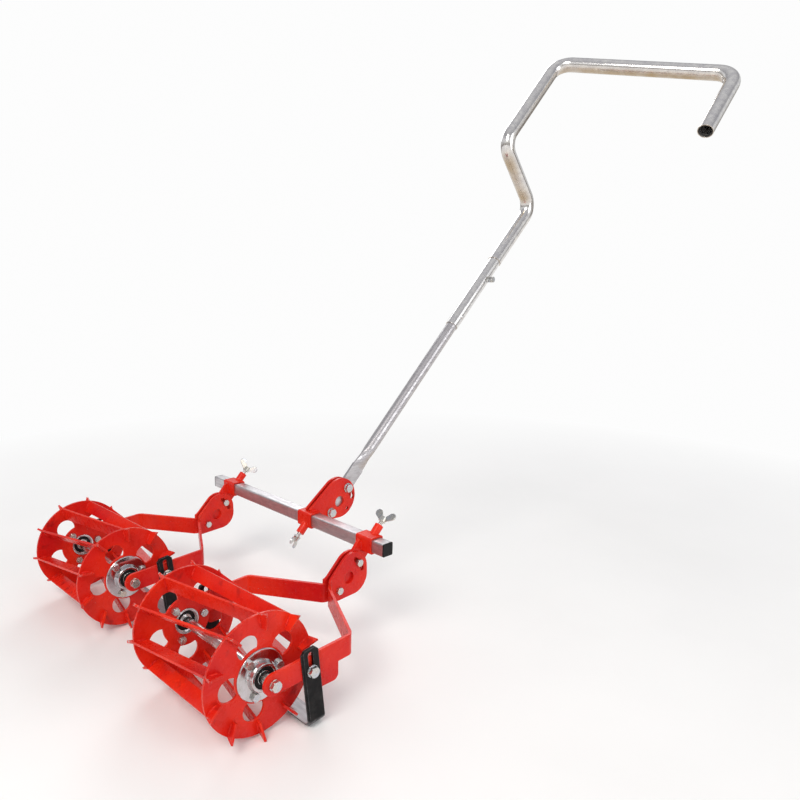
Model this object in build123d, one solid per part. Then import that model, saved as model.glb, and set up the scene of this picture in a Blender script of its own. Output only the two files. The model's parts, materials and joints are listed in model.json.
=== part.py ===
"""Two-row hand cultivator: a pair of cage rollers and stirrup hoes on a crossbar with a push handle.

Working axes, in millimetres: X runs along the roller axles, -Y is the way the tool is pushed, +Z is
up. The working origin is on the axle line, midway between the two rollers. Before the parts are
written they move together, so that the finished tool's origin is on the ground under its middle.
"""
from build123d import *
import os
from math import cos, hypot, radians, sin, sqrt, tan

# Rollers
ROW_SPACING = 450           # centre to centre of the two rollers
ROLLER_W = 220              # over the outer faces of a roller's two discs
DISC_R = 100
DISC_T = 4
HOLE_COUNT = 5
HOLE_R = 19.5               # round lightening holes, cut off square by the hub ring
HOLE_CENTRE_R = 56
HUB_RING_R = 45.5
BLADE_COUNT = 10
BLADE_T = 4
BLADE_DEPTH = 25
BLADE_SKEW = 22.8           # degrees that a blade turns about the axle between the discs
BLADE_REST = 28.5           # direction of the first blade's middle, degrees from +Y towards +Z
HEEL_OVERHANG = 9.5         # how far a blade's inner edge stands outside the discs
TIP_OVERHANG = 17           # how far its outer corner stands outside the +X disc
FAR_OVERHANG = 11           # and how far the one at its other end stands outside the -X disc
TIP_R = 105

# Hubs: pressed flanges and 17 mm ball bearings on a fixed axle
FLANGE_R = 43
FLANGE_T = 2.5
FLANGE_BOLT_R = 34
FLANGE_BOLT_D = 8
FLANGE_BOLT_ANGLES = (10, 130, 250)
CUP_R = 23.2
BEARING_R = 20
BEARING_W = 12
BALL_R = 3.4
OUTER_BORE, INNER_FACE = 18.4, 11.4     # the two races' facing radii
LIP_BORE = 19               # opening in a flange's cup
BALL_COUNT = 8
AXLE_R = 8.5
SPACER_R = 11
AXLE_BORE = 26              # depth of the threaded hole in each end of the axle
AXLE_BOLT_REACH = 22        # how far an end bolt goes into the axle
FIT = 0.05                  # radial clearance of shafts, bolts and the swivel

# Forks
ARM_T = 5
ARM_W = 36
ARM_X = 140                 # inner face of an arm, from the roller's middle
ARM_RISE = 3                # degrees that the arms climb towards the crossbar
ARM_BEND_Y = 157            # where the arms turn inwards behind the roller
ARM_BEND_R = 12
FORK_Y = 231                # where the arms meet and become the clevis plates
TAB_LENGTH = 66             # deeper stretch of the arm's lower edge, round the hoe's bolt
TAB_DEPTH = 24
TAB_MIDDLE_Y = 95
TONGUE_T = 6
PLATE_GAP = 0.1
BOLT_D = 10                 # axle, hoe and handle bolts
FORK_BOLT_D = 8
AXLE_WASHER_R = 9.2

# Crossbar and clamps
BAR = 25
BAR_WALL = 2
BAR_CORNER = 2.5
BAR_LENGTH = 560
BAR_Y, BAR_Z = 330, 95      # crossbar's centre line
SLEEVE_W = 40
SLEEVE_GAP = 0.3
SLEEVE_WALL = 3
BOSS_R = 8.5                # threaded boss on a sleeve's corner
BOSS_TOP = 38               # boss's end, from the bar's centre line
CAP_T = 2.5
CAP_DEPTH = 14
SET_D = 8                   # wing screws and the coupling's set bolt
SET_AF = 13
WING_TIP, WING_COLLAR, WING_TOP = 17, 46, 57    # wing screw's levels, from the bar's centre line
EAR_X, EAR_Z = 17, 10        # middle of a wing, from the screw's line and from its root
EAR_R = 7.5
EAR_T = 3
WING_TURNS = {"left": 70, "right": 0, "handle": 60}
CLAMP_SHIFT = 8             # how far a roller clamp's sleeve is off its tongue, along X
PIVOT_REACH = 107           # fork pivot, from the crossbar's centre line, down and forward at 45 deg

# Hinge plates. Circles that bound a round end: radius, then reach and direction from the pivot
HANDLE_PLATE_ROUNDS = [(43, 37, 45)]
FORK_PLATE_ROUNDS = [(36, 46, 40), (34, 41, 23)]
FORK_SHOULDER = 8           # step up from the arm's edge to the fork's hinge plate
SLOT_R = 65
SLOT_FROM, SLOT_TO = 20, 46  # directions of the slot's two ends from the pivot, degrees above +Y
SLOT_GAP = 0.2
WINDOW_R = 12
WINDOW_REACH = 31
WINDOW_ANGLE = 36
FORK_TURN = 5               # how far the fork's slot is turned up from the handle's
FORK_BOLT_ANGLE = 40        # where the fork's slot bolt stands, degrees above +Y
TONGUE_PIVOT_R, TONGUE_BOLT_R = 16, 14
SPARE_HOLE_R = 3.5          # spare hole in the handle's hinge plates
SPARE_HOLE_REACH, SPARE_HOLE_ANGLE = 47, -1

# Stirrup hoes
HOE_W = 32
HOE_T = 5
HOE_TOP, HOE_BOTTOM = 38, -102   # ends of the hoe along itself, from its bolt's height
HOE_BEND_R = 12
HOE_BOLT_Y, HOE_BOLT_Z = 69, -2
HOE_TILT = 7                # degrees that the hoe's top leans forward
HOE_TRAVEL = 28             # depth setting: how far the hoe can be lowered
HOE_BEVEL = 3
HOE_CORNER = 6

# Handle
HANDLE_X = 60               # plane of the handle
HANDLE_ANGLE = 44
HANDLE_PIVOT_Y, HANDLE_PIVOT_Z = BAR_Y + 51, BAR_Z + 2
LOWER_R = 12.5
LOWER_WALL = 2
FLAT_W = 34                 # lower tube's flattened end
FLAT_LENGTH = 118
ROUND_FROM = 165            # where the lower tube is round again, from the pivot
LOWER_END = 721
COUPLING_R = 14.5
COUPLING_FROM, COUPLING_TO = 531, 787
COUPLING_BOLT_AT = 682
DIMPLE_AT = 560
UPPER_R = 16
UPPER_WALL = UPPER_R - COUPLING_R - FIT
UPPER_FROM = 742
FIRST_BEND = 932            # handle's first bend, from the pivot
JOG_ANGLE, JOG_LENGTH = 132.4, 187
SECOND_ANGLE, SECOND_LEG = 45.4, 281
GRIP_LENGTH = 400
GRIP_SWIVEL = 17            # degrees that the grip is turned in the coupling
END_LENGTH = 181
TUBE_BEND_R = 38

SIDES = {"left": -1, "right": 1}
ACROSS = Vector(1, 0, 0)


def heading(angle):
    """Direction in the Y-Z plane at an angle above +Y."""
    return Vector(0, cos(radians(angle)), sin(radians(angle)))


HANDLE_DIR = heading(HANDLE_ANGLE)
HANDLE_PIVOT = Vector(HANDLE_X, HANDLE_PIVOT_Y, HANDLE_PIVOT_Z)
FORK_PIVOT = (BAR_Y - PIVOT_REACH / sqrt(2), BAR_Z - PIVOT_REACH / sqrt(2))
SLEEVE_HALF = BAR / 2 + SLEEVE_GAP + SLEEVE_WALL
PLATE_IN = TONGUE_T / 2 + PLATE_GAP
PLATE_OUT = PLATE_IN + ARM_T


def polar(centre, reach, angle):
    """Point in the Y-Z plane at a reach and an angle above +Y from a centre."""
    return (centre[0] + reach * cos(radians(angle)), centre[1] + reach * sin(radians(angle)))


def flat(outline, x0, x1):
    """Plate standing across X, from an outline drawn in Y and Z."""
    return extrude(Plane.YZ.offset(x0) * outline, x1 - x0)


def rod(radius, x0, x1, centre=(0, 0)):
    """Round bar along X."""
    return flat(Pos(*centre) * Circle(radius), min(x0, x1), max(x0, x1))


def ring(outer, inner, x0, x1, centre=(0, 0)):
    """Tube along X."""
    return flat(Pos(*centre) * (Circle(outer) - Circle(inner)), min(x0, x1), max(x0, x1))


def turned(profile):
    """Body of revolution about X, from points given as place along X and radius."""
    return revolve(Polygon(*profile, align=None), Axis.X)


def hexagon(across, height, plane):
    """Hexagon standing on a plane, with its far corners chamfered."""
    corner = across / sqrt(3)
    blank = extrude(plane * Circle(corner), height)
    far = blank.faces().sort_by(Axis(plane.origin, plane.z_dir))[-1]
    blank = chamfer(far.edges(), 0.07 * across)
    return extrude(plane * RegularPolygon(corner, 6), height) & blank


def across_plane(x, centre, toward):
    """Plane across X at a place, facing +X or -X."""
    return Plane(origin=(x, *centre), x_dir=(0, 1, 0), z_dir=(toward, 0, 0))


def bolt_set(size, x, stack, centre, toward, washers=True):
    """Hex bolt along X with washers and a nut. Its head is on the stack's face at x."""
    washer = 0.2 * size if washers else 0
    head_x = x + toward * washer
    nut_x = x - toward * (stack + washer)
    end_x = nut_x - toward * (0.8 * size + 2)
    head = hexagon(1.65 * size, 0.65 * size, across_plane(head_x, centre, toward))
    nut = hexagon(1.65 * size, 0.8 * size, across_plane(nut_x, centre, -toward))
    pieces = [head + rod(size / 2, head_x, end_x, centre)]
    pieces.append(nut - rod(size / 2 + FIT, head_x, end_x, centre))
    if washers:
        for face, out in ((x, toward), (x - toward * stack, -toward)):
            pieces.append(ring(size, size / 2 + FIT, face, face + out * washer, centre))
    return pieces


def both_ends(pieces):
    """The pieces and their mirror images across the middle of a roller, in one list."""
    return pieces + [mirror(piece, about=Plane.YZ) for piece in pieces]


def both_ways(piece):
    """The piece and its mirror image across the middle of a roller."""
    return {1: piece, -1: mirror(piece, about=Plane.YZ)}


# ---------------------------------------------------------------- roller

def blade_tip(half, overhang):
    """Place of a blade's outer corner: along the blade from its middle, and out from the axle."""
    along = half * (1 + 2 * overhang / ROLLER_W)
    aside = DISC_R * sin(radians(BLADE_SKEW / 2)) * along / half
    return along, sqrt(TIP_R ** 2 - aside ** 2)


def blade(angle):
    """Flat cutter bar set askew between the discs, with pointed ends standing outside them."""
    mid = radians(angle)
    half_skew = radians(BLADE_SKEW / 2)
    radial = Vector(0, cos(mid), sin(mid))
    tangent = Vector(0, -sin(mid), cos(mid))
    run = ACROSS * ROLLER_W - tangent * (2 * DISC_R * sin(half_skew))
    plane = Plane(origin=(0, 0, 0), x_dir=run, z_dir=run.cross(radial))
    half = run.length / 2
    edge = DISC_R * cos(half_skew)
    tip, tip_height = blade_tip(half, TIP_OVERHANG)
    far, far_height = blade_tip(half, FAR_OVERHANG)
    root = edge - BLADE_DEPTH
    heel = half + HEEL_OVERHANG
    far_heel = heel - TIP_OVERHANG + FAR_OVERHANG
    outline = Polygon(
        (-far, far_height), (-far_heel, root), (heel, root), (tip, tip_height), (half, edge), (-half, edge),
        align=None)
    return extrude(plane * outline, BLADE_T / 2, both=True)


def disc(hole_rest, blades):
    """Side disc at the +X end of a roller, notched for the blades."""
    face = Circle(DISC_R) - Circle(CUP_R + FIT)
    for angle in FLANGE_BOLT_ANGLES:
        face -= Pos(*polar((0, 0), FLANGE_BOLT_R, angle)) * Circle(FLANGE_BOLT_D / 2 + FIT)
    for k in range(HOLE_COUNT):
        hole = Pos(*polar((0, 0), HOLE_CENTRE_R, hole_rest + k * 360 / HOLE_COUNT)) * Circle(HOLE_R)
        face -= hole - Circle(HUB_RING_R)
    return flat(face, ROLLER_W / 2 - DISC_T, ROLLER_W / 2) - blades


def flange():
    """Pressed flange with the cup that holds a bearing."""
    face = ROLLER_W / 2
    bore = BEARING_R + FIT
    profile = [
        (face - DISC_T - 2, bore), (face + 10.7, bore), (face + 10.7, LIP_BORE), (face + 12, LIP_BORE),
        (face + 12, 22.2), (face + 11, CUP_R), (face + 5, 25), (face + FLANGE_T, 26.2),
        (face + FLANGE_T, FLANGE_R - 1.2), (face + FLANGE_T - 1.2, FLANGE_R), (face, FLANGE_R),
        (face, CUP_R), (face - DISC_T - 2, CUP_R)]
    plate = turned(profile)
    for angle in FLANGE_BOLT_ANGLES:
        hole = polar((0, 0), FLANGE_BOLT_R, angle)
        plate -= rod(FLANGE_BOLT_D / 2 + FIT, face - 1, face + 12, hole)
    return plate


def bearing():
    """Deep-groove bearing at the +X end: outer race, inner race, balls and seals."""
    x1 = ROLLER_W / 2 + 10.5
    x0 = x1 - BEARING_W
    middle = (x0 + x1) / 2
    pitch = (OUTER_BORE + INNER_FACE) / 2
    balls = []
    for k in range(BALL_COUNT):
        y, z = polar((0, 0), pitch, k * 360 / BALL_COUNT)
        balls.append(Pos(middle, y, z) * Sphere(BALL_R))
    seals = []
    for near, far in ((x0 + 0.5, x0 + 1.7), (x1 - 1.7, x1 - 0.5)):
        seals.append(ring(OUTER_BORE - FIT, INNER_FACE + 0.3, near, far))
    return {
        "outer": ring(BEARING_R, OUTER_BORE, x0, x1),
        "inner": ring(INNER_FACE, AXLE_R + FIT, x0, x1),
        "balls": balls,
        "seals": seals,
        "end": x1}


def flange_bolts():
    """Three bolts through a flange and its disc, nuts inside the roller."""
    pieces = []
    for angle in FLANGE_BOLT_ANGLES:
        centre = polar((0, 0), FLANGE_BOLT_R, angle)
        face = ROLLER_W / 2 + FLANGE_T
        pieces += bolt_set(FLANGE_BOLT_D, face, FLANGE_T + DISC_T, centre, 1, washers=False)
    return pieces


# ---------------------------------------------------------------- fork and hoe

def sector_holes(pivot, bolt, turn=0):
    """Pivot hole, round window and curved slot of a hinge plate."""
    arc = CenterArc(pivot, SLOT_R, SLOT_FROM + turn, SLOT_TO - SLOT_FROM)
    slot = SlotArc(arc, bolt + 2 * SLOT_GAP)
    window = Pos(*polar(pivot, WINDOW_REACH, WINDOW_ANGLE)) * Circle(WINDOW_R)
    return slot + window + Pos(*pivot) * Circle(bolt / 2 + FIT)


def sector(pivot, rounds, *edge):
    """Hinge plate outline: a round end, drawn in to an edge where it is joined."""
    outline = Line(*edge).edges()
    for radius, reach, angle in rounds:
        outline += (Pos(*polar(pivot, reach, angle)) * Circle(radius)).edges()
    return make_hull(outline)


def fork_arm():
    """Fork arm at the +X side: a strap from the axle, bent inwards to a hinge plate."""
    x = ARM_X + ARM_T / 2
    plate_x = (PLATE_IN + PLATE_OUT) / 2
    path = FilletPolyline(
        (x, -ARM_W), (x, ARM_BEND_Y), (plate_x, FORK_Y), (plate_x, BAR_Y + 2 * BAR),
        radius=ARM_BEND_R)
    section = Plane(origin=path @ 0, x_dir=ACROSS, z_dir=path % 0) * Rectangle(ARM_T, 6 * ARM_W)
    ribbon = sweep(section, path)

    half = ARM_W / 2
    climb = tan(radians(ARM_RISE))
    bend_z = ARM_BEND_Y * climb
    fork_z = bend_z + hypot(x - plate_x, FORK_Y - ARM_BEND_Y) * climb
    side = Circle(half) + Polygon(
        (0, -half), (ARM_BEND_Y, bend_z - half), (FORK_Y, fork_z - half),
        (FORK_Y, fork_z + half), (ARM_BEND_Y, bend_z + half), (0, half), align=None)
    side += Pos(TAB_MIDDLE_Y, -half) * RectangleRounded(TAB_LENGTH, 2 * TAB_DEPTH, 10)
    low, high = (FORK_Y, fork_z - half), (FORK_Y, fork_z + half + FORK_SHOULDER)
    side += sector(FORK_PIVOT, FORK_PLATE_ROUNDS, low, high)
    side -= sector_holes(FORK_PIVOT, FORK_BOLT_D, FORK_TURN)
    for hole in ((0, 0), (HOE_BOLT_Y, HOE_BOLT_Z)):
        side -= Pos(*hole) * Circle(BOLT_D / 2 + FIT)
    return ribbon & flat(side, 0, x + ARM_T)


def axle():
    """Fixed axle with a threaded hole in each end."""
    shaft = rod(AXLE_R, -ARM_X, ARM_X)
    for end in (-1, 1):
        shaft -= rod(BOLT_D / 2 + FIT, end * (ARM_X - AXLE_BORE), end * ARM_X)
    return shaft


def axle_bolt():
    """Bolt that holds an arm on the axle's +X end."""
    face = ARM_X + ARM_T
    washer = ring(AXLE_WASHER_R, BOLT_D / 2 + FIT, face, face + 2)
    head = hexagon(1.65 * BOLT_D, 0.65 * BOLT_D, across_plane(face + 2, (0, 0), 1))
    return [washer, head + rod(BOLT_D / 2, ARM_X - AXLE_BOLT_REACH, face + 2)]


def hoe():
    """U-shaped strap hoe. Its slotted ends bolt outside the arms, its bottom cuts behind the roller."""
    x = ARM_X + ARM_T + PLATE_GAP + HOE_T / 2
    bottom = HOE_BOTTOM + HOE_T / 2
    path = FilletPolyline(
        (-x, 0, HOE_TOP), (-x, 0, bottom), (x, 0, bottom), (x, 0, HOE_TOP), radius=HOE_BEND_R)
    section = Plane(origin=path @ 0, x_dir=ACROSS, z_dir=path % 0) * Rectangle(HOE_T, HOE_W)
    strap = sweep(section, path)
    low = strap.faces().sort_by(Axis.Z)[0]
    strap = chamfer(low.edges().sort_by(Axis.Y)[0], HOE_BEVEL)
    corners = strap.edges().filter_by(Axis.X).group_by(Axis.Z)[-1]
    strap = chamfer(corners, HOE_CORNER)
    slot = Pos(0, HOE_TRAVEL / 2) * SlotCenterToCenter(HOE_TRAVEL, BOLT_D + 2 * SLOT_GAP, rotation=90)
    strap -= flat(slot, -x - HOE_T, x + HOE_T)
    return Pos(0, HOE_BOLT_Y, HOE_BOLT_Z) * Rot(HOE_TILT, 0, 0) * strap


def hoe_bolt():
    """Bolt through the +X end of the hoe and its arm."""
    centre = (HOE_BOLT_Y, HOE_BOLT_Z)
    stack = ARM_T + PLATE_GAP + HOE_T
    return bolt_set(BOLT_D, ARM_X + stack, stack, centre, 1)


# ---------------------------------------------------------------- crossbar and clamps

def square(size, corner):
    return Pos(BAR_Y, BAR_Z) * RectangleRounded(size, size, corner)


def crossbar():
    """Square tube that carries the clamps."""
    tube = square(BAR, BAR_CORNER) - square(BAR - 2 * BAR_WALL, 1)
    return flat(tube, -BAR_LENGTH / 2, BAR_LENGTH / 2)


def cap():
    """Plastic plug in the bar's +X end."""
    end = BAR_LENGTH / 2
    lid = flat(square(BAR, BAR_CORNER), end, end + CAP_T)
    lid = chamfer(lid.faces().sort_by(Axis.X)[-1].edges(), 0.6)
    inside = BAR - 2 * BAR_WALL - 0.4
    return lid + flat(square(inside, 1) - square(inside - 4, 1), end - CAP_DEPTH, end)


def corner_plane(x, toward, reach):
    """Plane facing out of the bar's upper back corner (+1) or lower front corner (-1)."""
    out = Vector(0, toward, toward).normalized()
    return Plane(origin=Vector(x, BAR_Y, BAR_Z) + out * reach, x_dir=ACROSS, z_dir=out)


def sleeve(x, toward):
    """Clamp sleeve with a threaded boss on one corner."""
    body = flat(square(2 * SLEEVE_HALF, 4), x - SLEEVE_W / 2, x + SLEEVE_W / 2)
    body += extrude(corner_plane(x, toward, BAR / 2) * Circle(BOSS_R), BOSS_TOP - BAR / 2)
    body -= flat(square(BAR + 2 * SLEEVE_GAP, 2), x - SLEEVE_W, x + SLEEVE_W)
    return body - extrude(corner_plane(x, toward, BAR / 2) * Circle(SET_D / 2 + FIT), BOSS_TOP)


def wing_screw(x, toward, turn):
    """Wing screw that locks a sleeve on the bar's corner, turned to some angle in its boss."""
    screw = extrude(corner_plane(x, toward, WING_TIP) * Circle(SET_D / 2), WING_TOP - WING_TIP)
    collar = corner_plane(x, toward, WING_COLLAR) * Circle(7.5)
    hub = loft([collar, corner_plane(x, toward, WING_TOP) * Circle(5.5)])
    screw += fillet(hub.edges(), 0.8)
    wing_plane = Plane(
        origin=corner_plane(x, toward, WING_TOP - 5).origin, x_dir=ACROSS,
        z_dir=ACROSS.cross(Vector(0, toward, toward)))
    for side in (-1, 1):
        root = Pos(side * 5, 0) * Circle(4.5)
        ear = Pos(side * EAR_X, EAR_Z) * Circle(EAR_R)
        wing = extrude(wing_plane * make_hull(root.edges() + ear.edges()), EAR_T / 2, both=True)
        screw += fillet(wing.edges(), 0.6)
    tip = corner_plane(x, toward, WING_TIP)
    return screw.rotate(Axis(tip.origin, tip.z_dir), turn)


def tongue():
    """Plate on the lower front corner of a roller clamp, held between the fork's hinge plates."""
    slot_bolt = polar(FORK_PIVOT, SLOT_R, FORK_BOLT_ANGLE)
    pivot_end = Pos(*FORK_PIVOT) * Circle(TONGUE_PIVOT_R)
    bolt_end = Pos(*slot_bolt) * Circle(TONGUE_BOLT_R)
    saddle = Line((BAR_Y - SLEEVE_HALF - 4, BAR_Z + 9), (BAR_Y + 8, BAR_Z - SLEEVE_HALF - 4))
    outline = make_hull(pivot_end.edges() + bolt_end.edges() + saddle.edges())
    outline -= square(2 * SLEEVE_HALF, 4)
    for hole in (FORK_PIVOT, slot_bolt):
        outline -= Pos(*hole) * Circle(FORK_BOLT_D / 2 + FIT)
    return flat(outline, -TONGUE_T / 2, TONGUE_T / 2)


def handle_plate():
    """Hinge plate welded over the upper back corner of the handle clamp, at the +X side."""
    pivot = (HANDLE_PIVOT_Y, HANDLE_PIVOT_Z)
    weld = (BAR_Y - 6, BAR_Z + SLEEVE_HALF + 4), (BAR_Y + SLEEVE_HALF + 4, BAR_Z - 12)
    outline = sector(pivot, HANDLE_PLATE_ROUNDS, *weld)
    outline -= square(2 * SLEEVE_HALF, 4) + sector_holes(pivot, BOLT_D)
    outline -= Pos(*polar(pivot, SPARE_HOLE_REACH, SPARE_HOLE_ANGLE)) * Circle(SPARE_HOLE_R)
    return flat(outline, PLATE_IN, PLATE_OUT)


def plate_bolt(size, centre):
    """Bolt through a pair of hinge plates. Only the handle's larger ones have washers."""
    reach = PLATE_OUT + PLATE_GAP
    return bolt_set(size, reach, 2 * reach, centre, 1, washers=size == BOLT_D)


# ---------------------------------------------------------------- handle

def handle_plane(reach):
    """Plane across the handle's line, at a distance from its pivot. Its X is across the tool."""
    return Plane(origin=HANDLE_PIVOT + HANDLE_DIR * reach, x_dir=ACROSS, z_dir=HANDLE_DIR)


def lower_tube():
    """Lower handle tube: flattened for the hinge plates, then round."""
    inner = LOWER_R - LOWER_WALL
    side_plane = Plane(origin=HANDLE_PIVOT, x_dir=HANDLE_DIR, z_dir=ACROSS)
    tab = Circle(FLAT_W / 2) + Pos(FLAT_LENGTH / 2, 0) * Rectangle(FLAT_LENGTH, FLAT_W)
    tube = extrude(side_plane * tab, TONGUE_T / 2, both=True)
    flat_section = handle_plane(FLAT_LENGTH) * RectangleRounded(TONGUE_T, FLAT_W, 2.9)
    tube += loft([flat_section, handle_plane(ROUND_FROM) * Circle(LOWER_R)])
    tube += extrude(handle_plane(ROUND_FROM) * Circle(LOWER_R), LOWER_END - ROUND_FROM)
    tube -= extrude(handle_plane(ROUND_FROM) * Circle(inner), LOWER_END - ROUND_FROM)
    for reach in (0, SLOT_R):
        centre = HANDLE_PIVOT + HANDLE_DIR * reach
        tube -= rod(BOLT_D / 2 + FIT, HANDLE_X - 9, HANDLE_X + 9, (centre.Y, centre.Z))
    return tube


def coupling_sleeve():
    """Reducing sleeve: slides on the lower tube and carries the upper handle."""
    length = COUPLING_TO - COUPLING_FROM
    tube = extrude(handle_plane(COUPLING_FROM) * (Circle(COUPLING_R) - Circle(LOWER_R + 2 * FIT)), length)
    bolt_at = HANDLE_PIVOT + HANDLE_DIR * COUPLING_BOLT_AT
    tube -= rod(SET_D / 2 + FIT, HANDLE_X, HANDLE_X + 2 * COUPLING_R, (bolt_at.Y, bolt_at.Z))
    dimple_at = HANDLE_PIVOT + HANDLE_DIR * DIMPLE_AT
    dimples = rod(4, HANDLE_X - COUPLING_R - 2, HANDLE_X + COUPLING_R + 2, (dimple_at.Y, dimple_at.Z))
    dimples = fillet(dimples.edges(), 1.6)
    return tube + (dimples - extrude(handle_plane(COUPLING_FROM) * Circle(COUPLING_R - 0.5), length))


def coupling_bolt():
    """Set bolt and its nut on the coupling."""
    at = HANDLE_PIVOT + HANDLE_DIR * COUPLING_BOLT_AT
    centre = (at.Y, at.Z)
    tip = HANDLE_X + LOWER_R + 0.3
    nut_x = HANDLE_X + COUPLING_R
    head_x = nut_x + 11
    nut = hexagon(SET_AF, 6.5, across_plane(nut_x, centre, 1))
    nut -= rod(SET_D / 2 + FIT, tip, head_x, centre)
    seat = extrude(handle_plane(COUPLING_FROM) * Circle(COUPLING_R), COUPLING_TO - COUPLING_FROM)
    head = hexagon(SET_AF, 5.3, across_plane(head_x, centre, 1))
    return [nut - seat, head + rod(SET_D / 2, tip, head_x, centre)]


def upper_handle():
    """Upper handle: straight leg, jog, second leg, grip across and an open hooked end."""
    jog = heading(JOG_ANGLE)
    leg = heading(SECOND_ANGLE)
    grip = ACROSS * cos(radians(GRIP_SWIVEL)) + leg.cross(ACROSS) * sin(radians(GRIP_SWIVEL))
    first = HANDLE_PIVOT + HANDLE_DIR * FIRST_BEND
    second = first + jog * JOG_LENGTH
    third = second + leg * SECOND_LEG
    fourth = third + grip * GRIP_LENGTH
    points = [HANDLE_PIVOT + HANDLE_DIR * UPPER_FROM, first, second, third, fourth,
              fourth - leg * END_LENGTH]
    path = FilletPolyline(*points, radius=TUBE_BEND_R)
    section = handle_plane(UPPER_FROM) * (Circle(UPPER_R) - Circle(UPPER_R - UPPER_WALL))
    return sweep(section, path)


# ---------------------------------------------------------------- assembly

def roller_unit(side):
    """Every part of one roller, fork, hoe and clamp, named for its side of the tool."""
    outer = SIDES[side]
    blades = [blade(BLADE_REST + k * 360 / BLADE_COUNT) for k in range(BLADE_COUNT)]
    near_disc = disc(40, blades)
    far_disc = mirror(disc(55, [mirror(b, about=Plane.YZ) for b in blades]), about=Plane.YZ)
    discs = {1: near_disc, -1: far_disc}
    flanges = both_ways(flange())
    arms = both_ways(fork_arm())
    race = bearing()
    spacer = ring(SPACER_R, AXLE_R + FIT, race["end"], ARM_X)
    slot_bolt = polar(FORK_PIVOT, SLOT_R, FORK_BOLT_ANGLE)
    parts = {
        "outer_disc": discs[outer],
        "inner_disc": discs[-outer],
        "blades": blades,
        "outer_flange": flanges[outer],
        "inner_flange": flanges[-outer],
        "flange_bolts": both_ends(flange_bolts()),
        "bearing_outer_races": both_ends([race["outer"]]),
        "bearing_inner_races": both_ends([race["inner"]]),
        "bearing_balls": both_ends(race["balls"]),
        "bearing_seals": both_ends(race["seals"]),
        "axle": axle(),
        "axle_spacers": both_ends([spacer]),
        "axle_bolts": both_ends(axle_bolt()),
        "fork_outer_arm": arms[outer],
        "fork_inner_arm": arms[-outer],
        "stirrup_hoe": hoe(),
        "stirrup_bolts": both_ends(hoe_bolt()),
        "clamp_sleeve": sleeve(CLAMP_SHIFT, 1),
        "clamp_tongue": tongue(),
        "pivot_bolt": plate_bolt(FORK_BOLT_D, FORK_PIVOT),
        "slot_bolt": plate_bolt(FORK_BOLT_D, slot_bolt),
        "wing_screw": wing_screw(CLAMP_SHIFT, 1, WING_TURNS[side])}
    move = Pos(outer * ROW_SPACING / 2, 0, 0)
    return {f"{side}_{name}": move * shape_of(part) for name, part in parts.items()}


def shape_of(part):
    """One shape, from a solid or from a list of separate solids."""
    return Compound(children=part) if isinstance(part, list) else part


def handle_unit():
    """Crossbar, handle clamp and handle."""
    plates = both_ways(handle_plate())
    at_handle = Pos(HANDLE_X, 0, 0)
    pivot = (HANDLE_PIVOT_Y, HANDLE_PIVOT_Z)
    slot_bolt = polar(pivot, SLOT_R, HANDLE_ANGLE)
    parts = {
        "crossbar": crossbar(),
        "crossbar_caps": both_ends([cap()]),
        "handle_clamp_sleeve": at_handle * sleeve(0, -1),
        "handle_right_plate": at_handle * plates[1],
        "handle_left_plate": at_handle * plates[-1],
        "handle_pivot_bolt": at_handle * shape_of(plate_bolt(BOLT_D, pivot)),
        "handle_slot_bolt": at_handle * shape_of(plate_bolt(BOLT_D, slot_bolt)),
        "handle_wing_screw": at_handle * wing_screw(0, -1, WING_TURNS["handle"]),
        "lower_handle_tube": lower_tube(),
        "coupling_sleeve": coupling_sleeve(),
        "coupling_bolt": coupling_bolt(),
        "upper_handle": upper_handle()}
    return {name: shape_of(part) for name, part in parts.items()}


def tool():
    """All parts in their places, and the move that puts the origin under the tool's middle."""
    parts = {**roller_unit("left"), **roller_unit("right"), **handle_unit()}
    boxes = [part.bounding_box() for part in parts.values()]
    corners = [corner for box in boxes for corner in (box.min, box.max)]
    middle_x, middle_y = ((min(values) + max(values)) / 2 for values in (
        [corner.X for corner in corners], [corner.Y for corner in corners]))
    return parts, Vector(-middle_x, -middle_y, -min(corner.Z for corner in corners))


PARTS, SHIFT = tool()
os.makedirs("parts", exist_ok=True)
for name, part in PARTS.items():
    export_step(Pos(*SHIFT) * part, f"parts/{name}.step")
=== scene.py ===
"""Looks of the two-row hand cultivator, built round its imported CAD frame.

Lengths are in metres, in the frame's own axes: +X to the tool's right, -Y the way it is pushed, +Z up.
"""
import json
import math
import bmesh
import bpy
from mathutils import Matrix, Vector


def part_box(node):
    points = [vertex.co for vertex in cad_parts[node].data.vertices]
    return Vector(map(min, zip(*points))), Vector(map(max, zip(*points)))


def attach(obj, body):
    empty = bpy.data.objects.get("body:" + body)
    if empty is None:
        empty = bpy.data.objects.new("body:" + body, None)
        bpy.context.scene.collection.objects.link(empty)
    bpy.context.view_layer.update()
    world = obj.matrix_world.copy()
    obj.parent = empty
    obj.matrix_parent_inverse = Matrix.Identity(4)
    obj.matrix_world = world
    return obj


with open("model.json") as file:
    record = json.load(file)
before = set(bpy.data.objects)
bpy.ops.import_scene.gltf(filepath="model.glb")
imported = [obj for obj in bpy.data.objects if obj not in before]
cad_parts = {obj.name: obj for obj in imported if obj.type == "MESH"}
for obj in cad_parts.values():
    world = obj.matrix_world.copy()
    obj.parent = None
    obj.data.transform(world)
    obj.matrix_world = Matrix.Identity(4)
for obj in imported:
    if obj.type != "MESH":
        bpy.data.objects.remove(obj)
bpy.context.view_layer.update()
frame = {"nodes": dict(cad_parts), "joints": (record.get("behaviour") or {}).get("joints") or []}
NODES = frame["nodes"]
JOINTS = {joint["name"]: joint for joint in frame["joints"]}
SIDES = ("left", "right")
MM = 0.001

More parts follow.
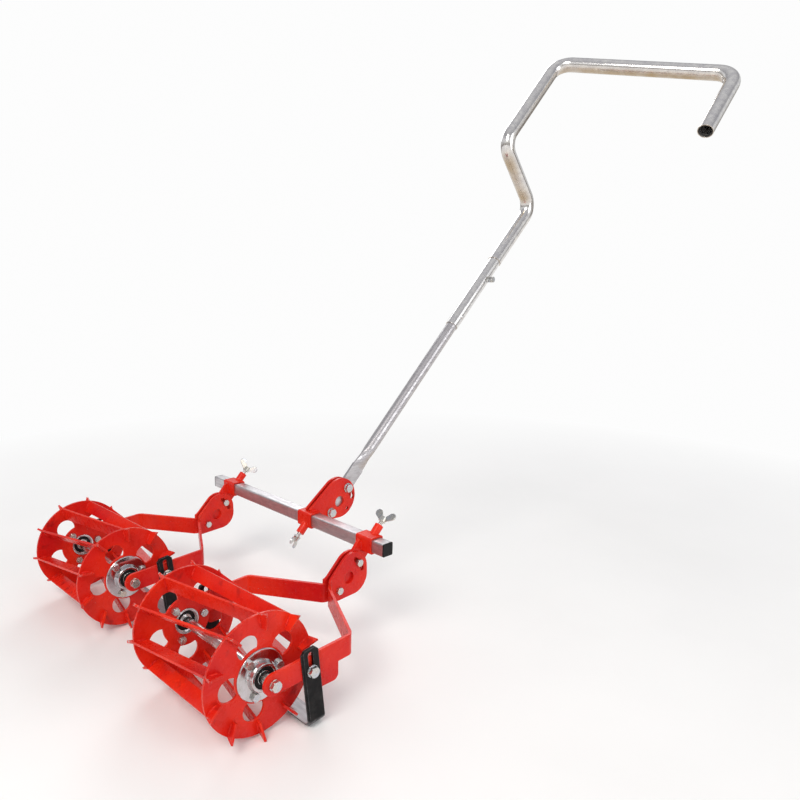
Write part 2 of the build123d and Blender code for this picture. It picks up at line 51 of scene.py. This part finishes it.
# Camera at the viewing angle. Its place is measured from the crossbar's middle line at the handle clamp
CAMERA_PLACE = (1.0315, -0.8701, 0.4961)
CAMERA_AZIMUTH = 49.83
CAMERA_ELEVATION = 13.77
CAMERA_LENS = 31.07
CAMERA_SHIFT = (0.1125, 0.05)

# Cutter bars, as the rollers hold them
BLADE_COUNT = 10
BLADE_REST = 28.5           # degrees from +Y towards +Z
BLADE_SKEW = 22.8           # degrees round the axle, from one disc to the other
BLADE_DEPTH = 25 * MM
BLADE_HALF_T = 2 * MM

# Marks on a roller's paint, by distance from its axle
DARK_BAND_FROM, DARK_BAND_TO = 72 * MM, 84 * MM     # darker blotches in the paint near the welds
TIPS_FROM, TIPS_TO = 99 * MM, 105 * MM      # cutter tips, which meet the soil; bare steel flecks there are partly wear and partly painted glints

# Wear of a hoe, upwards from its bottom
HOE_BARE_FROM, HOE_BARE_TO = 50 * MM, 38 * MM
HOE_SCOUR_FROM, HOE_SCOUR_TO = 16 * MM, 5 * MM
HOE_RAGGED = 14 * MM

# Weld beads
BEAD_SIDES = 10
BEAD_STEP = 0.35 * MM
BEAD_RIPPLE = 2.2 * MM
BLADE_BEAD = 2.0 * MM       # radius of a bead on a cutter
CLAMP_BEAD = 2.2 * MM       # radius of a bead on a clamp
BEAD_LIFT = 0.3 * MM        # from the surface to a bead's middle line
PLATE_LIFT = 0.5 * MM       # the same, beside a plate's face
BEAD_CORNER = 3 * MM        # how far a bead cuts a sleeve's corner
SLEEVE_HALF = 16 * MM       # half the handle clamp's sleeve, without its boss

# Thread on the bare stretch of a wing screw
THREAD_START = 38.2 * MM    # out from the crossbar's middle line
THREAD_LENGTH = 7.8 * MM
THREAD_ROOT = 3.9 * MM
THREAD_PITCH = 1.25 * MM
THREAD_HEIGHT = 0.30        # of the pitch
THREAD_SIDES = 28
ROWS_PER_PITCH = 8

# Studio
FLOOR_RADIUS = 60
FLOOR_GAP = 0.5 * MM                # from the tool's lowest point down to the floor
GLOW_FROM, GLOW_TO = 0.8, 2.0       # distances at which the floor fades into the pale surround
SURROUND_STRENGTH = 0.62
LIGHTS_AIM = (0, -0.3, 0.25)

# Colours, as linear values
RED = (0.80, 0.030, 0.010, 1)
RED_DEEP = (0.60, 0.010, 0.010, 1)
RED_DARK_BLOTCH = (0.26, 0.006, 0.008, 1)
# lighter orange of edges: partly thin paint, partly a painted highlight
RED_EDGE = (0.95, 0.075, 0.012, 1)
BARE_STEEL = (0.56, 0.55, 0.53, 1)
ZINC = (0.64, 0.63, 0.65, 1)
ZINC_DULL = (0.44, 0.42, 0.44, 1)
ZINC_BRIGHT = (0.88, 0.87, 0.85, 1)
# brown of the ground, painted on the tubes' undersides as a reflection
ZINC_GROUND_REFLECTION = (0.40, 0.27, 0.12, 1)
BLACK = (0.004, 0.004, 0.005, 1)
GREY = (0.028, 0.026, 0.025, 1)
FLOOR = (0.90, 0.90, 0.90, 1)
SURROUND = (0.98, 0.98, 0.98, 1)
SKY_LOW = (0.20, 0.15, 0.11, 1)     # what the metal reflects from below
SKY_TOP = (0.95, 0.95, 0.97, 1)
SKY_BANDS = ((0.22, (1.1, 1.1, 1.08, 1)), (0.42, (1.2, 1.2, 1.2, 1)), (0.60, (0.50, 0.50, 0.53, 1)))


# ---------------------------------------------------------------- materials

class Looks:
    """One node material round a Principled shader, with short names for the usual nodes."""

    def __init__(self, name):
        self.material = bpy.data.materials.new(name)
        self.material.use_nodes = True
        self.tree = self.material.node_tree
        self.shader = self.tree.nodes["Principled BSDF"]
        coordinates = self.node("ShaderNodeTexCoord")
        self.place = coordinates.outputs["Object"]
        self.facing = coordinates.outputs["Normal"]

    def node(self, kind, **settings):
        made = self.tree.nodes.new(kind)
        for name, value in settings.items():
            setattr(made, name, value)
        return made

    def feed(self, socket, value):
        if isinstance(value, bpy.types.NodeSocket):
            self.tree.links.new(value, socket)
        else:
            socket.default_value = value

    def set(self, **values):
        for name, value in values.items():
            self.feed(self.shader.inputs[name.replace("_", " ")], value)

    def maths(self, operation, a, b=0.0):
        made = self.node("ShaderNodeMath", operation=operation)
        self.feed(made.inputs[0], a)
        self.feed(made.inputs[1], b)
        return made.outputs[0]

    def parts(self, vector):
        made = self.node("ShaderNodeSeparateXYZ")
        self.feed(made.inputs[0], vector)
        return made.outputs

    def mapped(self, turn=(0, 0, 0), scale=(1, 1, 1), move=(0, 0, 0)):
        """The object's coordinates, moved, then turned, then stretched."""
        moved = self.node("ShaderNodeVectorMath", operation="SUBTRACT")
        self.feed(moved.inputs[0], self.place)
        moved.inputs[1].default_value = move
        made = self.node("ShaderNodeMapping", vector_type="POINT")
        self.feed(made.inputs["Vector"], moved.outputs[0])
        made.inputs["Rotation"].default_value = [math.radians(a) for a in turn]
        made.inputs["Scale"].default_value = scale
        return made.outputs[0]

    def noise(self, scale, detail=4.0, roughness=0.55, where=None):
        made = self.node("ShaderNodeTexNoise")
        self.feed(made.inputs["Vector"], where or self.place)
        made.inputs["Scale"].default_value = scale
        made.inputs["Detail"].default_value = detail
        made.inputs["Roughness"].default_value = roughness
        return made.outputs["Fac"]

    def lines(self, value, scale, detail=3.0):
        """Noise that changes along one value only, as fine parallel lines."""
        made = self.node("ShaderNodeTexNoise", noise_dimensions="1D")
        self.feed(made.inputs["W"], value)
        made.inputs["Scale"].default_value = scale
        made.inputs["Detail"].default_value = detail
        return made.outputs["Fac"]

    def cells(self, scale, where=None):
        made = self.node("ShaderNodeTexVoronoi", feature="F1")
        self.feed(made.inputs["Vector"], where or self.place)
        made.inputs["Scale"].default_value = scale
        return self.parts(made.outputs["Color"])[0]

    def band(self, value, low, high, to_low=0.0, to_high=1.0):
        """A value mapped from one range to another, and held inside it."""
        made = self.node("ShaderNodeMapRange", clamp=True)
        self.feed(made.inputs["Value"], value)
        ends = {"From Min": low, "From Max": high, "To Min": to_low, "To Max": to_high}
        for name, number in ends.items():
            made.inputs[name].default_value = number
        return made.outputs["Result"]

    def mix(self, share, a, b):
        made = self.node("ShaderNodeMix", data_type="RGBA")
        self.feed(made.inputs["Factor"], share)
        self.feed(made.inputs[6], a)
        self.feed(made.inputs[7], b)
        return made.outputs[2]

    def edges(self, radius):
        """0 on open faces, rising to 1 along sharp edges, and the normal that rounds those edges."""
        rounded = self.node("ShaderNodeBevel", samples=6)
        rounded.inputs["Radius"].default_value = radius
        flat = self.node("ShaderNodeNewGeometry").outputs["Normal"]
        dot = self.node("ShaderNodeVectorMath", operation="DOT_PRODUCT")
        self.feed(dot.inputs[0], rounded.outputs[0])
        self.feed(dot.inputs[1], flat)
        return self.band(dot.outputs["Value"], 0.995, 0.86), rounded.outputs[0]

    def bump(self, height, strength, distance, normal=None):
        made = self.node("ShaderNodeBump")
        made.inputs["Strength"].default_value = strength
        made.inputs["Distance"].default_value = distance
        self.feed(made.inputs["Height"], height)
        if normal is not None:
            self.feed(made.inputs["Normal"], normal)
        return made.outputs[0]

    def reach(self, point):
        """Distance from a line along X through a point, such as an axle."""
        _, y, z = self.parts(self.mapped(move=point))
        squares = [self.maths("POWER", part, 2.0) for part in (y, z)]
        return self.maths("SQRT", self.maths("ADD", *squares))


def red_paint(name="red_paint", axle=None):
    """Glossy powder coat, lighter on edges, partly from thin paint and partly as a painted highlight. A
    roller's has darker blotches in a band near its welds, and bare steel at its tips, partly from wear and
    partly painted glints.
    """
    look = Looks(name)
    edge, rounded = look.edges(0.9 * MM)
    patches = look.noise(9, 3)
    fine = look.noise(70, 5, 0.6)
    colour = look.mix(look.band(patches, 0.35, 0.68), RED_DEEP, RED)
    # Edges turn lighter orange in patches: partly thin paint, partly a painted highlight where edges catch
    # the light.
    lightened = look.maths("MULTIPLY", edge, look.band(fine, 0.30, 0.62, 0.35, 1.0))
    colour = look.mix(lightened, colour, RED_EDGE)
    gloss = look.band(fine, 0.3, 0.7, 0.22, 0.34)
    peel = look.noise(900, 2, 0.4)
    normal = look.bump(peel, 0.10, 0.15 * MM, rounded)
    specks = look.band(look.noise(420, 2, 0.7), 0.705, 0.73)
    scuffs_and_tip_glints = look.maths("MULTIPLY", specks, look.band(look.noise(14, 2), 0.5, 0.62))
    if axle is not None:
        reach = look.reach(axle)
        # Darker blotches in a band round the axle, near the welds.
        dark_band = look.band(reach, DARK_BAND_FROM, DARK_BAND_TO)
        blotches = look.maths("MULTIPLY", dark_band, look.band(look.noise(38, 2), 0.60, 0.70))
        colour = look.mix(look.maths("MULTIPLY", blotches, 0.5), colour, RED_DARK_BLOTCH)
        # Bare steel flecks at the cutter tips: partly wear, partly painted glints where the tips catch the
        # light.
        tips = look.band(reach, TIPS_FROM, TIPS_TO)
        tip_flecks_and_glints = look.band(look.noise(240, 4, 0.7), 0.53, 0.60)
        scuffs_and_tip_glints = look.maths("MAXIMUM", scuffs_and_tip_glints, look.maths("MULTIPLY", tips, tip_flecks_and_glints))
    colour = look.mix(scuffs_and_tip_glints, colour, BARE_STEEL)
    rough = look.maths("ADD", gloss, look.maths("MULTIPLY", scuffs_and_tip_glints, 0.12))
    look.set(Base_Color=colour, Metallic=look.maths("MULTIPLY", scuffs_and_tip_glints, 0.9), Roughness=rough,
             Normal=normal, Specular_IOR_Level=0.20)
    return look.material


def galvanised(name, warm, turn=(0, 0, 0), stretch=(1, 1, 1), tones=(ZINC_DULL, ZINC), dull=(0.42, 0.27),
               grain=0.08):
    """Galvanised tube: spangles, drawn streaks along it, and a warmer brown tone on its underside, painted
    as a reflection of the ground.
    """
    look = Looks(name)
    along = look.mapped(turn=turn, scale=stretch)
    spangle = look.cells(150, look.mapped(turn=turn, scale=[(1 + s) / 2 for s in stretch]))
    streak = look.noise(260, 4, 0.6, along)
    cloud = look.noise(12, 4)
    tone = look.maths("ADD", look.maths("MULTIPLY", spangle, 0.22), look.maths("MULTIPLY", streak, 0.78))
    colour = look.mix(look.band(tone, 0.30, 0.72), *tones)
    # Painted reflection: faces turned downwards are tinted brown, as if they reflected the ground.
    under = look.band(look.parts(look.facing)[2], 0.05, -0.75)
    painted_ground_reflection = look.maths("MULTIPLY", under, look.band(cloud, 0.30, 0.62, 0.35 * warm, warm))
    colour = look.mix(painted_ground_reflection, colour, ZINC_GROUND_REFLECTION)
    edge, rounded = look.edges(0.7 * MM)
    colour = look.mix(look.maths("MULTIPLY", edge, 0.5), colour, ZINC)
    rough = look.band(tone, 0.3, 0.75, *dull)
    normal = look.bump(streak, grain, 0.08 * MM, rounded)
    look.set(Base_Color=colour, Metallic=0.9, Roughness=rough, Normal=normal)
    return look.material


def zinc_plate(name="zinc_plate"):
    """Zinc-plated fasteners: bright, faintly blue and yellow in patches, with fine machining marks."""
    look = Looks(name)
    edge, rounded = look.edges(0.5 * MM)
    tint = look.mix(look.band(look.noise(60, 3), 0.35, 0.65), (0.56, 0.59, 0.64, 1), (0.64, 0.61, 0.53, 1))
    tint = look.mix(look.band(look.noise(500, 3, 0.7), 0.52, 0.70, 0, 0.5), tint, ZINC_DULL)
    tint = look.mix(edge, tint, (0.84, 0.84, 0.85, 1))
    rough = look.band(look.noise(260, 4), 0.3, 0.7, 0.20, 0.34)
    look.set(Base_Color=tint, Metallic=0.95, Roughness=rough,
             Normal=look.bump(look.noise(1500, 3), 0.12, 0.05 * MM, rounded))
    return look.material


def pressed_flange(name, axle):
    """Bright pressed flange: mirror-like, with faint circular press lines and grease smears."""
    look = Looks(name)
    edge, rounded = look.edges(0.6 * MM)
    rings = look.lines(look.reach(axle), 2600)
    smear = look.noise(45, 4, 0.6)
    tint = look.mix(look.band(smear, 0.42, 0.68), (0.66, 0.65, 0.68, 1), (0.48, 0.46, 0.45, 1))
    tint = look.mix(edge, tint, (0.95, 0.95, 0.95, 1))
    rough = look.maths("ADD", look.band(smear, 0.35, 0.7, 0.07, 0.24), look.band(rings, 0.3, 0.7, 0, 0.05))
    look.set(Base_Color=tint, Metallic=1.0, Roughness=rough,
             Normal=look.bump(rings, 0.08, 0.06 * MM, rounded))
    return look.material


def turned_steel(name, axle):
    """Ground steel of the axle, spacers and races, with lathe lines round it and on its ends."""
    look = Looks(name)
    along = look.parts(look.place)[0]
    turned = look.lines(look.maths("ADD", along, look.reach(axle)), 3200, 4)
    oil = look.noise(50, 4, 0.6)
    tint = look.mix(look.band(oil, 0.40, 0.66), (0.72, 0.72, 0.73, 1), (0.46, 0.44, 0.41, 1))
    rough = look.band(oil, 0.3, 0.7, 0.16, 0.32)
    edge, rounded = look.edges(0.4 * MM)
    tint = look.mix(edge, tint, (0.93, 0.93, 0.93, 1))
    look.set(Base_Color=tint, Metallic=1.0, Roughness=rough,
             Normal=look.bump(turned, 0.14, 0.05 * MM, rounded))
    return look.material


def seal_rubber(name, axle):
    """Bearing seal: matt black rubber with moulded rings and a little dust."""
    look = Looks(name)
    rings = look.maths("SINE", look.maths("MULTIPLY", look.reach(axle), 5200))
    dust = look.noise(160, 5, 0.65)
    look.set(Base_Color=look.mix(look.band(dust, 0.45, 0.8, 0, 0.6), BLACK, GREY),
             Roughness=look.band(dust, 0.3, 0.7, 0.45, 0.75),
             Normal=look.bump(rings, 0.25, 0.2 * MM), Specular_IOR_Level=0.25)
    return look.material


def cap_plastic(name="cap_plastic"):
    """Moulded end cap: black, finely grained, paler from wear in patches and along its edges."""
    look = Looks(name)
    edge, rounded = look.edges(0.8 * MM)
    grain = look.noise(1300, 3, 0.6)
    handled = look.band(look.noise(60, 5), 0.52, 0.8, 0, 0.5)
    lighter_edges_and_patches = look.maths("MAXIMUM", look.maths("MULTIPLY", edge, 0.6), handled)
    look.set(Base_Color=look.mix(lighter_edges_and_patches, BLACK, GREY), Roughness=look.band(grain, 0.3, 0.7, 0.42, 0.62),
             Normal=look.bump(grain, 0.30, 0.12 * MM, rounded), Specular_IOR_Level=0.25)
    return look.material


def hoe_steel(name, low, high):
    """Strap hoe: black paint on its legs, bare steel inside its bottom and where soil has scoured it, and
    bare steel in patches along its edges, partly from wear and partly a painted highlight.
    """
    look = Looks(name)
    middle = (low + high) / 2
    x, _, z = look.parts(look.mapped(move=middle))
    facing_x, _, facing_z = look.parts(look.facing)
    inward = look.maths("MULTIPLY", facing_x, look.maths("MULTIPLY", look.maths("SIGN", x), -1.0))
    inside = look.maths("MAXIMUM", inward, facing_z)
    scour = look.noise(55, 5, 0.65)
    bottom = (low.z - high.z) / 2
    ragged = look.maths("ADD", z, look.maths("MULTIPLY", scour, HOE_RAGGED))
    on_bottom = look.band(ragged, bottom + HOE_BARE_FROM, bottom + HOE_BARE_TO)
    bare = look.maths("MULTIPLY", look.band(inside, 0.35, 0.6), on_bottom)
    low_down = look.band(z, bottom + HOE_SCOUR_FROM, bottom + HOE_SCOUR_TO)
    lightened = look.maths("MULTIPLY", low_down, look.band(scour, 0.38, 0.58, 0.25, 0.95))
    edge, rounded = look.edges(1.0 * MM)
    # Edges bare steel in patches: partly wear, partly a painted highlight where the edges catch the light.
    lighter_edges_and_patches = look.maths("MULTIPLY", edge, look.band(scour, 0.4, 0.6, 0.25, 0.85))
    bare = look.maths("MAXIMUM", bare, look.maths("MAXIMUM", lightened, lighter_edges_and_patches))
    scratch = look.noise(240, 4, 0.6, look.mapped(scale=(0.12, 1, 1)))
    steel = look.mix(look.band(scratch, 0.3, 0.7), (0.24, 0.24, 0.25, 1), (0.46, 0.46, 0.48, 1))
    paint = look.mix(look.band(look.noise(90, 4), 0.4, 0.75, 0, 0.7), BLACK, GREY)
    painted = look.maths("MULTIPLY", look.maths("SUBTRACT", 1.0, bare), 0.14)
    rough = look.maths("ADD", look.band(scour, 0.3, 0.7, 0.32, 0.44), painted)
    look.set(Base_Color=look.mix(bare, paint, steel), Metallic=look.maths("MULTIPLY", bare, 0.95),
             Roughness=rough, Normal=look.bump(scratch, 0.10, 0.08 * MM, rounded), Specular_IOR_Level=0.14)
    return look.material


def weld_metal(name="weld_metal"):
    """Paint over a weld: the same coat, over heavier lumps."""
    look = Looks(name)
    lumps = look.noise(330, 4, 0.6)
    colour = look.mix(look.band(lumps, 0.35, 0.7), RED_DEEP, RED)
    look.set(Base_Color=colour, Roughness=look.band(lumps, 0.3, 0.7, 0.24, 0.40), Specular_IOR_Level=0.22,
             Normal=look.bump(lumps, 0.35, 0.5 * MM))
    return look.material


# ---------------------------------------------------------------- CAD nodes' materials

def axle_of(side):
    return Vector(JOINTS[f"{side}_roller_spin"]["pos_m"])


def dress_nodes():
    """Gives every CAD node its material. Where none is named, fasteners are zinc and the rest is red."""
    zinc = zinc_plate()
    red = red_paint()
    # In each galvanised call, the number after the name is the strength of the painted ground reflection on
    # the undersides.
    along_tube = {"turn": (-44, 0, 0), "stretch": (1, 0.06, 1)}
    bright = (ZINC, ZINC_BRIGHT)
    looks = {
        "crossbar": galvanised("zinc_bar", 0.35, stretch=(0.06, 1, 1)),
        "crossbar_caps": cap_plastic(),
        "lower_handle_tube": galvanised("zinc_tube", 0.75, **along_tube),
        "coupling_sleeve": galvanised("zinc_sleeve", 0.5, **along_tube, tones=bright, dull=(0.26, 0.16),
                                      grain=0.04),
        "upper_handle": galvanised("zinc_handle", 0.9, stretch=(0.4, 0.4, 0.4), tones=bright,
                                   dull=(0.20, 0.10), grain=0.032)}
    for side in SIDES:
        axle = axle_of(side)
        steel = turned_steel(f"{side}_turned_steel", axle)
        flange = pressed_flange(f"{side}_pressed_flange", axle)
        roller = red_paint(f"{side}_roller_paint", axle)
        looks.update({
            f"{side}_axle": steel, f"{side}_axle_spacers": steel, f"{side}_bearing_inner_races": steel,
            f"{side}_bearing_outer_races": steel, f"{side}_bearing_balls": steel,
            f"{side}_bearing_seals": seal_rubber(f"{side}_seal_rubber", axle),
            f"{side}_outer_flange": flange, f"{side}_inner_flange": flange,
            f"{side}_outer_disc": roller, f"{side}_inner_disc": roller, f"{side}_blades": roller,
            f"{side}_stirrup_hoe": hoe_steel(f"{side}_hoe_steel", *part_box(f"{side}_stirrup_hoe"))})
    for name, node in NODES.items():
        fastener = name.endswith(("bolt", "bolts", "wing_screw"))
        for slot in node.material_slots:
            slot.material = looks.get(name, zinc if fastener else red)


# ---------------------------------------------------------------- welds and threads

def piece(name, mesh_data, material, body):
    """A new smooth mesh piece that rides on a body."""
    mesh = bpy.data.meshes.new(name)
    mesh_data.to_mesh(mesh)
    mesh_data.free()
    mesh.materials.append(material)
    for polygon in mesh.polygons:
        polygon.use_smooth = True
    made = bpy.data.objects.new(name, mesh)
    bpy.context.scene.collection.objects.link(made)
    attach(made, body)


def tube_rows(mesh, centres, radii, up):
    """Adds a closed tube through the centres, with a radius at each, to a bmesh."""
    turn = [2 * math.pi * j / BEAD_SIDES for j in range(BEAD_SIDES)]
    rows = []
    for k, (centre, radius) in enumerate(zip(centres, radii)):
        ahead = centres[min(k + 1, len(centres) - 1)] - centres[max(k - 1, 0)]
        across = ahead.cross(up).normalized()
        over = across.cross(ahead).normalized()
        rows.append([mesh.verts.new(centre + (across * math.cos(a) + over * math.sin(a)) * radius)
                     for a in turn])
    for low, high in zip(rows, rows[1:]):
        for j in range(BEAD_SIDES):
            mesh.faces.new((low[j], low[j - 1], high[j - 1], high[j]))
    mesh.faces.new(rows[0])
    mesh.faces.new(reversed(rows[-1]))


def bead(mesh, start, end, radius, up):
    """A run of weld between two points: overlapping ripples that taper at both ends."""
    run = end - start
    steps = max(8, int(run.length / BEAD_STEP))
    centres, radii = [], []
    for k in range(steps + 1):
        t = k / steps
        ripple = 0.82 + 0.18 * abs(math.sin(t * run.length / BEAD_RIPPLE * math.pi))
        taper = min(1.0, math.sqrt(max(0.05, min(t, 1 - t)) * run.length / (2 * radius)))
        sway = up.cross(run).normalized() * (0.12 * radius * math.sin(9 * t + start.x * 800))
        centres.append(start + run * t + sway)
        radii.append(radius * ripple * max(0.35, taper))
    tube_rows(mesh, centres, radii, up)


def thread(mesh, start, direction):
    """Screw thread as a ridged skin round a plain shank, running out at both ends."""
    side = direction.orthogonal().normalized()
    other = direction.cross(side)
    rows = []
    count = int(THREAD_LENGTH / THREAD_PITCH * ROWS_PER_PITCH)
    for k in range(count + 1):
        along = k * THREAD_LENGTH / count
        run_out = min(1, along / THREAD_PITCH, (THREAD_LENGTH - along) / THREAD_PITCH)
        row = []
        for j in range(THREAD_SIDES):
            a = 2 * math.pi * j / THREAD_SIDES
            phase = (along / THREAD_PITCH - j / THREAD_SIDES) % 1.0
            ridge = THREAD_ROOT + THREAD_HEIGHT * THREAD_PITCH * (1 - abs(2 * phase - 1)) * run_out
            outwards = side * math.cos(a) + other * math.sin(a)
            row.append(mesh.verts.new(start + direction * along + outwards * ridge))
        rows.append(row)
    for low, high in zip(rows, rows[1:]):
        for j in range(THREAD_SIDES):
            mesh.faces.new((low[j - 1], low[j], high[j], high[j - 1]))
    mesh.faces.new(reversed(rows[0]))
    mesh.faces.new(rows[-1])


def blade_welds(side, weld):
    """A short run of weld on each side of every cutter, on both faces of both discs."""
    axle = axle_of(side)
    discs = [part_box(f"{side}_{which}_disc") for which in ("outer", "inner")]
    radius = (discs[0][1].z - discs[0][0].z) / 2
    width = max(high.x for _, high in discs) - min(low.x for low, _ in discs)
    lean = radius * math.sin(math.radians(BLADE_SKEW / 2)) / (width / 2)
    edge = radius * math.cos(math.radians(BLADE_SKEW / 2))
    mesh = bmesh.new()
    for low, high in discs:
        for face, out in ((low.x, -1), (high.x, 1)):
            for k in range(BLADE_COUNT):
                angle = math.radians(BLADE_REST + k * 360 / BLADE_COUNT)
                radial = Vector((0, math.cos(angle), math.sin(angle)))
                tangent = Vector((0, -math.sin(angle), math.cos(angle)))
                centre = Vector((face, axle.y, axle.z)) - tangent * (face - axle.x) * lean
                for hand in (-1, 1):
                    beside = tangent * hand * (BLADE_HALF_T + 0.4 * MM)
                    line = centre + beside + Vector((out * BEAD_LIFT, 0, 0))
                    start = line + radial * (edge - BLADE_DEPTH + 4 * MM)
                    bead(mesh, start, line + radial * (edge - 5 * MM), BLADE_BEAD, tangent)
    piece(f"{side}_blade_welds", mesh, weld, f"{side}_roller")


def bead_chain(mesh, points):
    """Runs of weld from each point to the next, on a plate that stands across X."""
    for start, end in zip(points, points[1:]):
        bead(mesh, start, end, CLAMP_BEAD, Vector((1, 0, 0)))


def clamp_welds(side, weld):
    """Welds between a roller clamp's sleeve and its tongue, along both faces of the tongue."""
    low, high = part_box(f"{side}_clamp_tongue")
    bar = Vector(JOINTS[f"{side}_wing_screw_turn"]["pos_m"])
    half = bar.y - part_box(f"{side}_clamp_sleeve")[0].y
    front, under = bar.y - half - BEAD_LIFT, bar.z - half - BEAD_LIFT
    mesh = bmesh.new()
    for x in (low.x - PLATE_LIFT, high.x + PLATE_LIFT):
        bead_chain(mesh, (Vector((x, front, bar.z + half * 0.3)),
                          Vector((x, front, bar.z - half + BEAD_CORNER)),
                          Vector((x, bar.y - half + BEAD_CORNER, under)),
                          Vector((x, bar.y + half * 0.3, under))))
    piece(f"{side}_clamp_welds", mesh, weld, f"{side}_clamp")


def handle_welds(weld):
    """Welds between the handle clamp's sleeve and its two hinge plates, along their outer faces."""
    bar = Vector(JOINTS["handle_wing_screw_turn"]["pos_m"])
    half = min(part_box("handle_clamp_sleeve")[1].y - bar.y, SLEEVE_HALF)
    top, back = bar.z + half, bar.y + half
    right_face, left_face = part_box("handle_right_plate")[1].x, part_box("handle_left_plate")[0].x
    mesh = bmesh.new()
    for x in (right_face + PLATE_LIFT, left_face - PLATE_LIFT):
        bead_chain(mesh, (Vector((x, bar.y - half * 0.2, top)),
                          Vector((x, back - BEAD_CORNER, top)),
                          Vector((x, back, top - BEAD_CORNER)),
                          Vector((x, back, bar.z - half * 0.5))))
    piece("handle_clamp_welds", mesh, weld, "handle_clamp")


def wing_threads(material):
    """Thread on the bare stretch of each wing screw, between its boss and its collar."""
    for prefix in ("left", "right", "handle"):
        joint = JOINTS[f"{prefix}_wing_screw_turn"]
        out = Vector(joint["axis"]).normalized()
        mesh = bmesh.new()
        thread(mesh, Vector(joint["pos_m"]) + out * THREAD_START, out)
        piece(f"{prefix}_wing_screw_thread", mesh, material, f"{prefix}_wing_screw")


# ---------------------------------------------------------------- studio

def camera():
    """The camera at the photograph's viewing angle."""
    data = bpy.data.cameras.new("camera")
    data.sensor_width = 36
    data.lens = CAMERA_LENS
    data.shift_x, data.shift_y = CAMERA_SHIFT
    data.clip_end = 100
    made = bpy.data.objects.new("camera", data)
    bpy.context.scene.collection.objects.link(made)
    a, e = math.radians(CAMERA_AZIMUTH), math.radians(CAMERA_ELEVATION)
    back = Vector((math.sin(a) * math.cos(e), -math.cos(a) * math.cos(e), math.sin(e)))
    right = Vector((math.cos(a), math.sin(a), 0))
    turn = Matrix((right, back.cross(right), back)).transposed()
    place = Vector(JOINTS["handle_wing_screw_turn"]["pos_m"]) + Vector(CAMERA_PLACE)
    made.matrix_world = Matrix.Translation(place) @ turn.to_4x4()
    bpy.context.scene.camera = made


def area_light(name, place, size, watts, tint=(1, 1, 1)):
    """A soft round light that faces the tool."""
    data = bpy.data.lights.new(name, "AREA")
    data.shape = "DISK"
    data.size = size
    data.energy = watts
    data.color = tint
    made = bpy.data.objects.new(name, data)
    bpy.context.scene.collection.objects.link(made)
    made.location = place
    made.rotation_mode = "QUATERNION"
    made.rotation_quaternion = (Vector(LIGHTS_AIM) - Vector(place)).to_track_quat("-Z", "Y")


def studio_floor():
    """Pale floor that fades into the surround away from the tool."""
    look = Looks("floor_paint")
    mottle = look.noise(2.5, 5)
    look.set(Base_Color=look.mix(mottle, FLOOR, SURROUND), Roughness=look.band(mottle, 0.3, 0.7, 0.75, 0.9))
    glow = look.node("ShaderNodeEmission")
    glow.inputs["Color"].default_value = SURROUND
    reach = look.node("ShaderNodeVectorMath", operation="LENGTH")
    look.feed(reach.inputs[0], look.place)
    far = look.node("ShaderNodeMixShader")
    look.feed(far.inputs[0], look.band(reach.outputs["Value"], GLOW_FROM, GLOW_TO))
    look.feed(far.inputs[1], look.shader.outputs[0])
    look.feed(far.inputs[2], glow.outputs[0])
    look.feed(look.tree.nodes["Material Output"].inputs["Surface"], far.outputs[0])
    bpy.ops.mesh.primitive_circle_add(vertices=128, radius=FLOOR_RADIUS, fill_type="NGON",
                                      location=(0, 0, -FLOOR_GAP))
    floor = bpy.context.object
    floor.name = "floor"
    floor.data.materials.append(look.material)


def surround():
    """Light from all round, in bands of height, and an even pale field for the camera.

    The bands show only in reflections.
    """
    world = bpy.data.worlds.new("surround")
    bpy.context.scene.world = world
    world.use_nodes = True
    tree = world.node_tree
    light = tree.nodes["Background"]
    light.inputs["Strength"].default_value = SURROUND_STRENGTH
    height = tree.nodes.new("ShaderNodeSeparateXYZ")
    tree.links.new(tree.nodes.new("ShaderNodeTexCoord").outputs["Generated"], height.inputs[0])
    ramp = tree.nodes.new("ShaderNodeValToRGB")
    ramp.color_ramp.elements[0].color = SKY_LOW
    ramp.color_ramp.elements[1].color = SKY_TOP
    for position, colour in SKY_BANDS:
        ramp.color_ramp.elements.new(position).color = colour
    tree.links.new(height.outputs[2], ramp.inputs[0])
    tree.links.new(ramp.outputs[0], light.inputs["Color"])
    seen = tree.nodes.new("ShaderNodeBackground")
    seen.inputs["Color"].default_value = SURROUND
    rays = tree.nodes.new("ShaderNodeLightPath")
    both = tree.nodes.new("ShaderNodeMixShader")
    tree.links.new(rays.outputs["Is Camera Ray"], both.inputs[0])
    tree.links.new(light.outputs[0], both.inputs[1])
    tree.links.new(seen.outputs[0], both.inputs[2])
    tree.links.new(both.outputs[0], tree.nodes["World Output"].inputs["Surface"])


def studio():
    """Pale floor, pale surround and three soft lights."""
    studio_floor()
    surround()
    area_light("key", (1.0, -2.6, 2.8), 1.8, 66, (1, 0.96, 0.90))
    area_light("fill", (3.0, 0.4, 1.6), 2.2, 22)
    area_light("back", (-2.2, 1.8, 2.4), 2.0, 30)
    bpy.context.scene.view_settings.view_transform = "Standard"


# ---------------------------------------------------------------- build

dress_nodes()
weld = weld_metal()
for side in SIDES:
    blade_welds(side, weld)
    clamp_welds(side, weld)
handle_welds(weld)
wing_threads(zinc_plate("zinc_thread"))
studio()
camera()
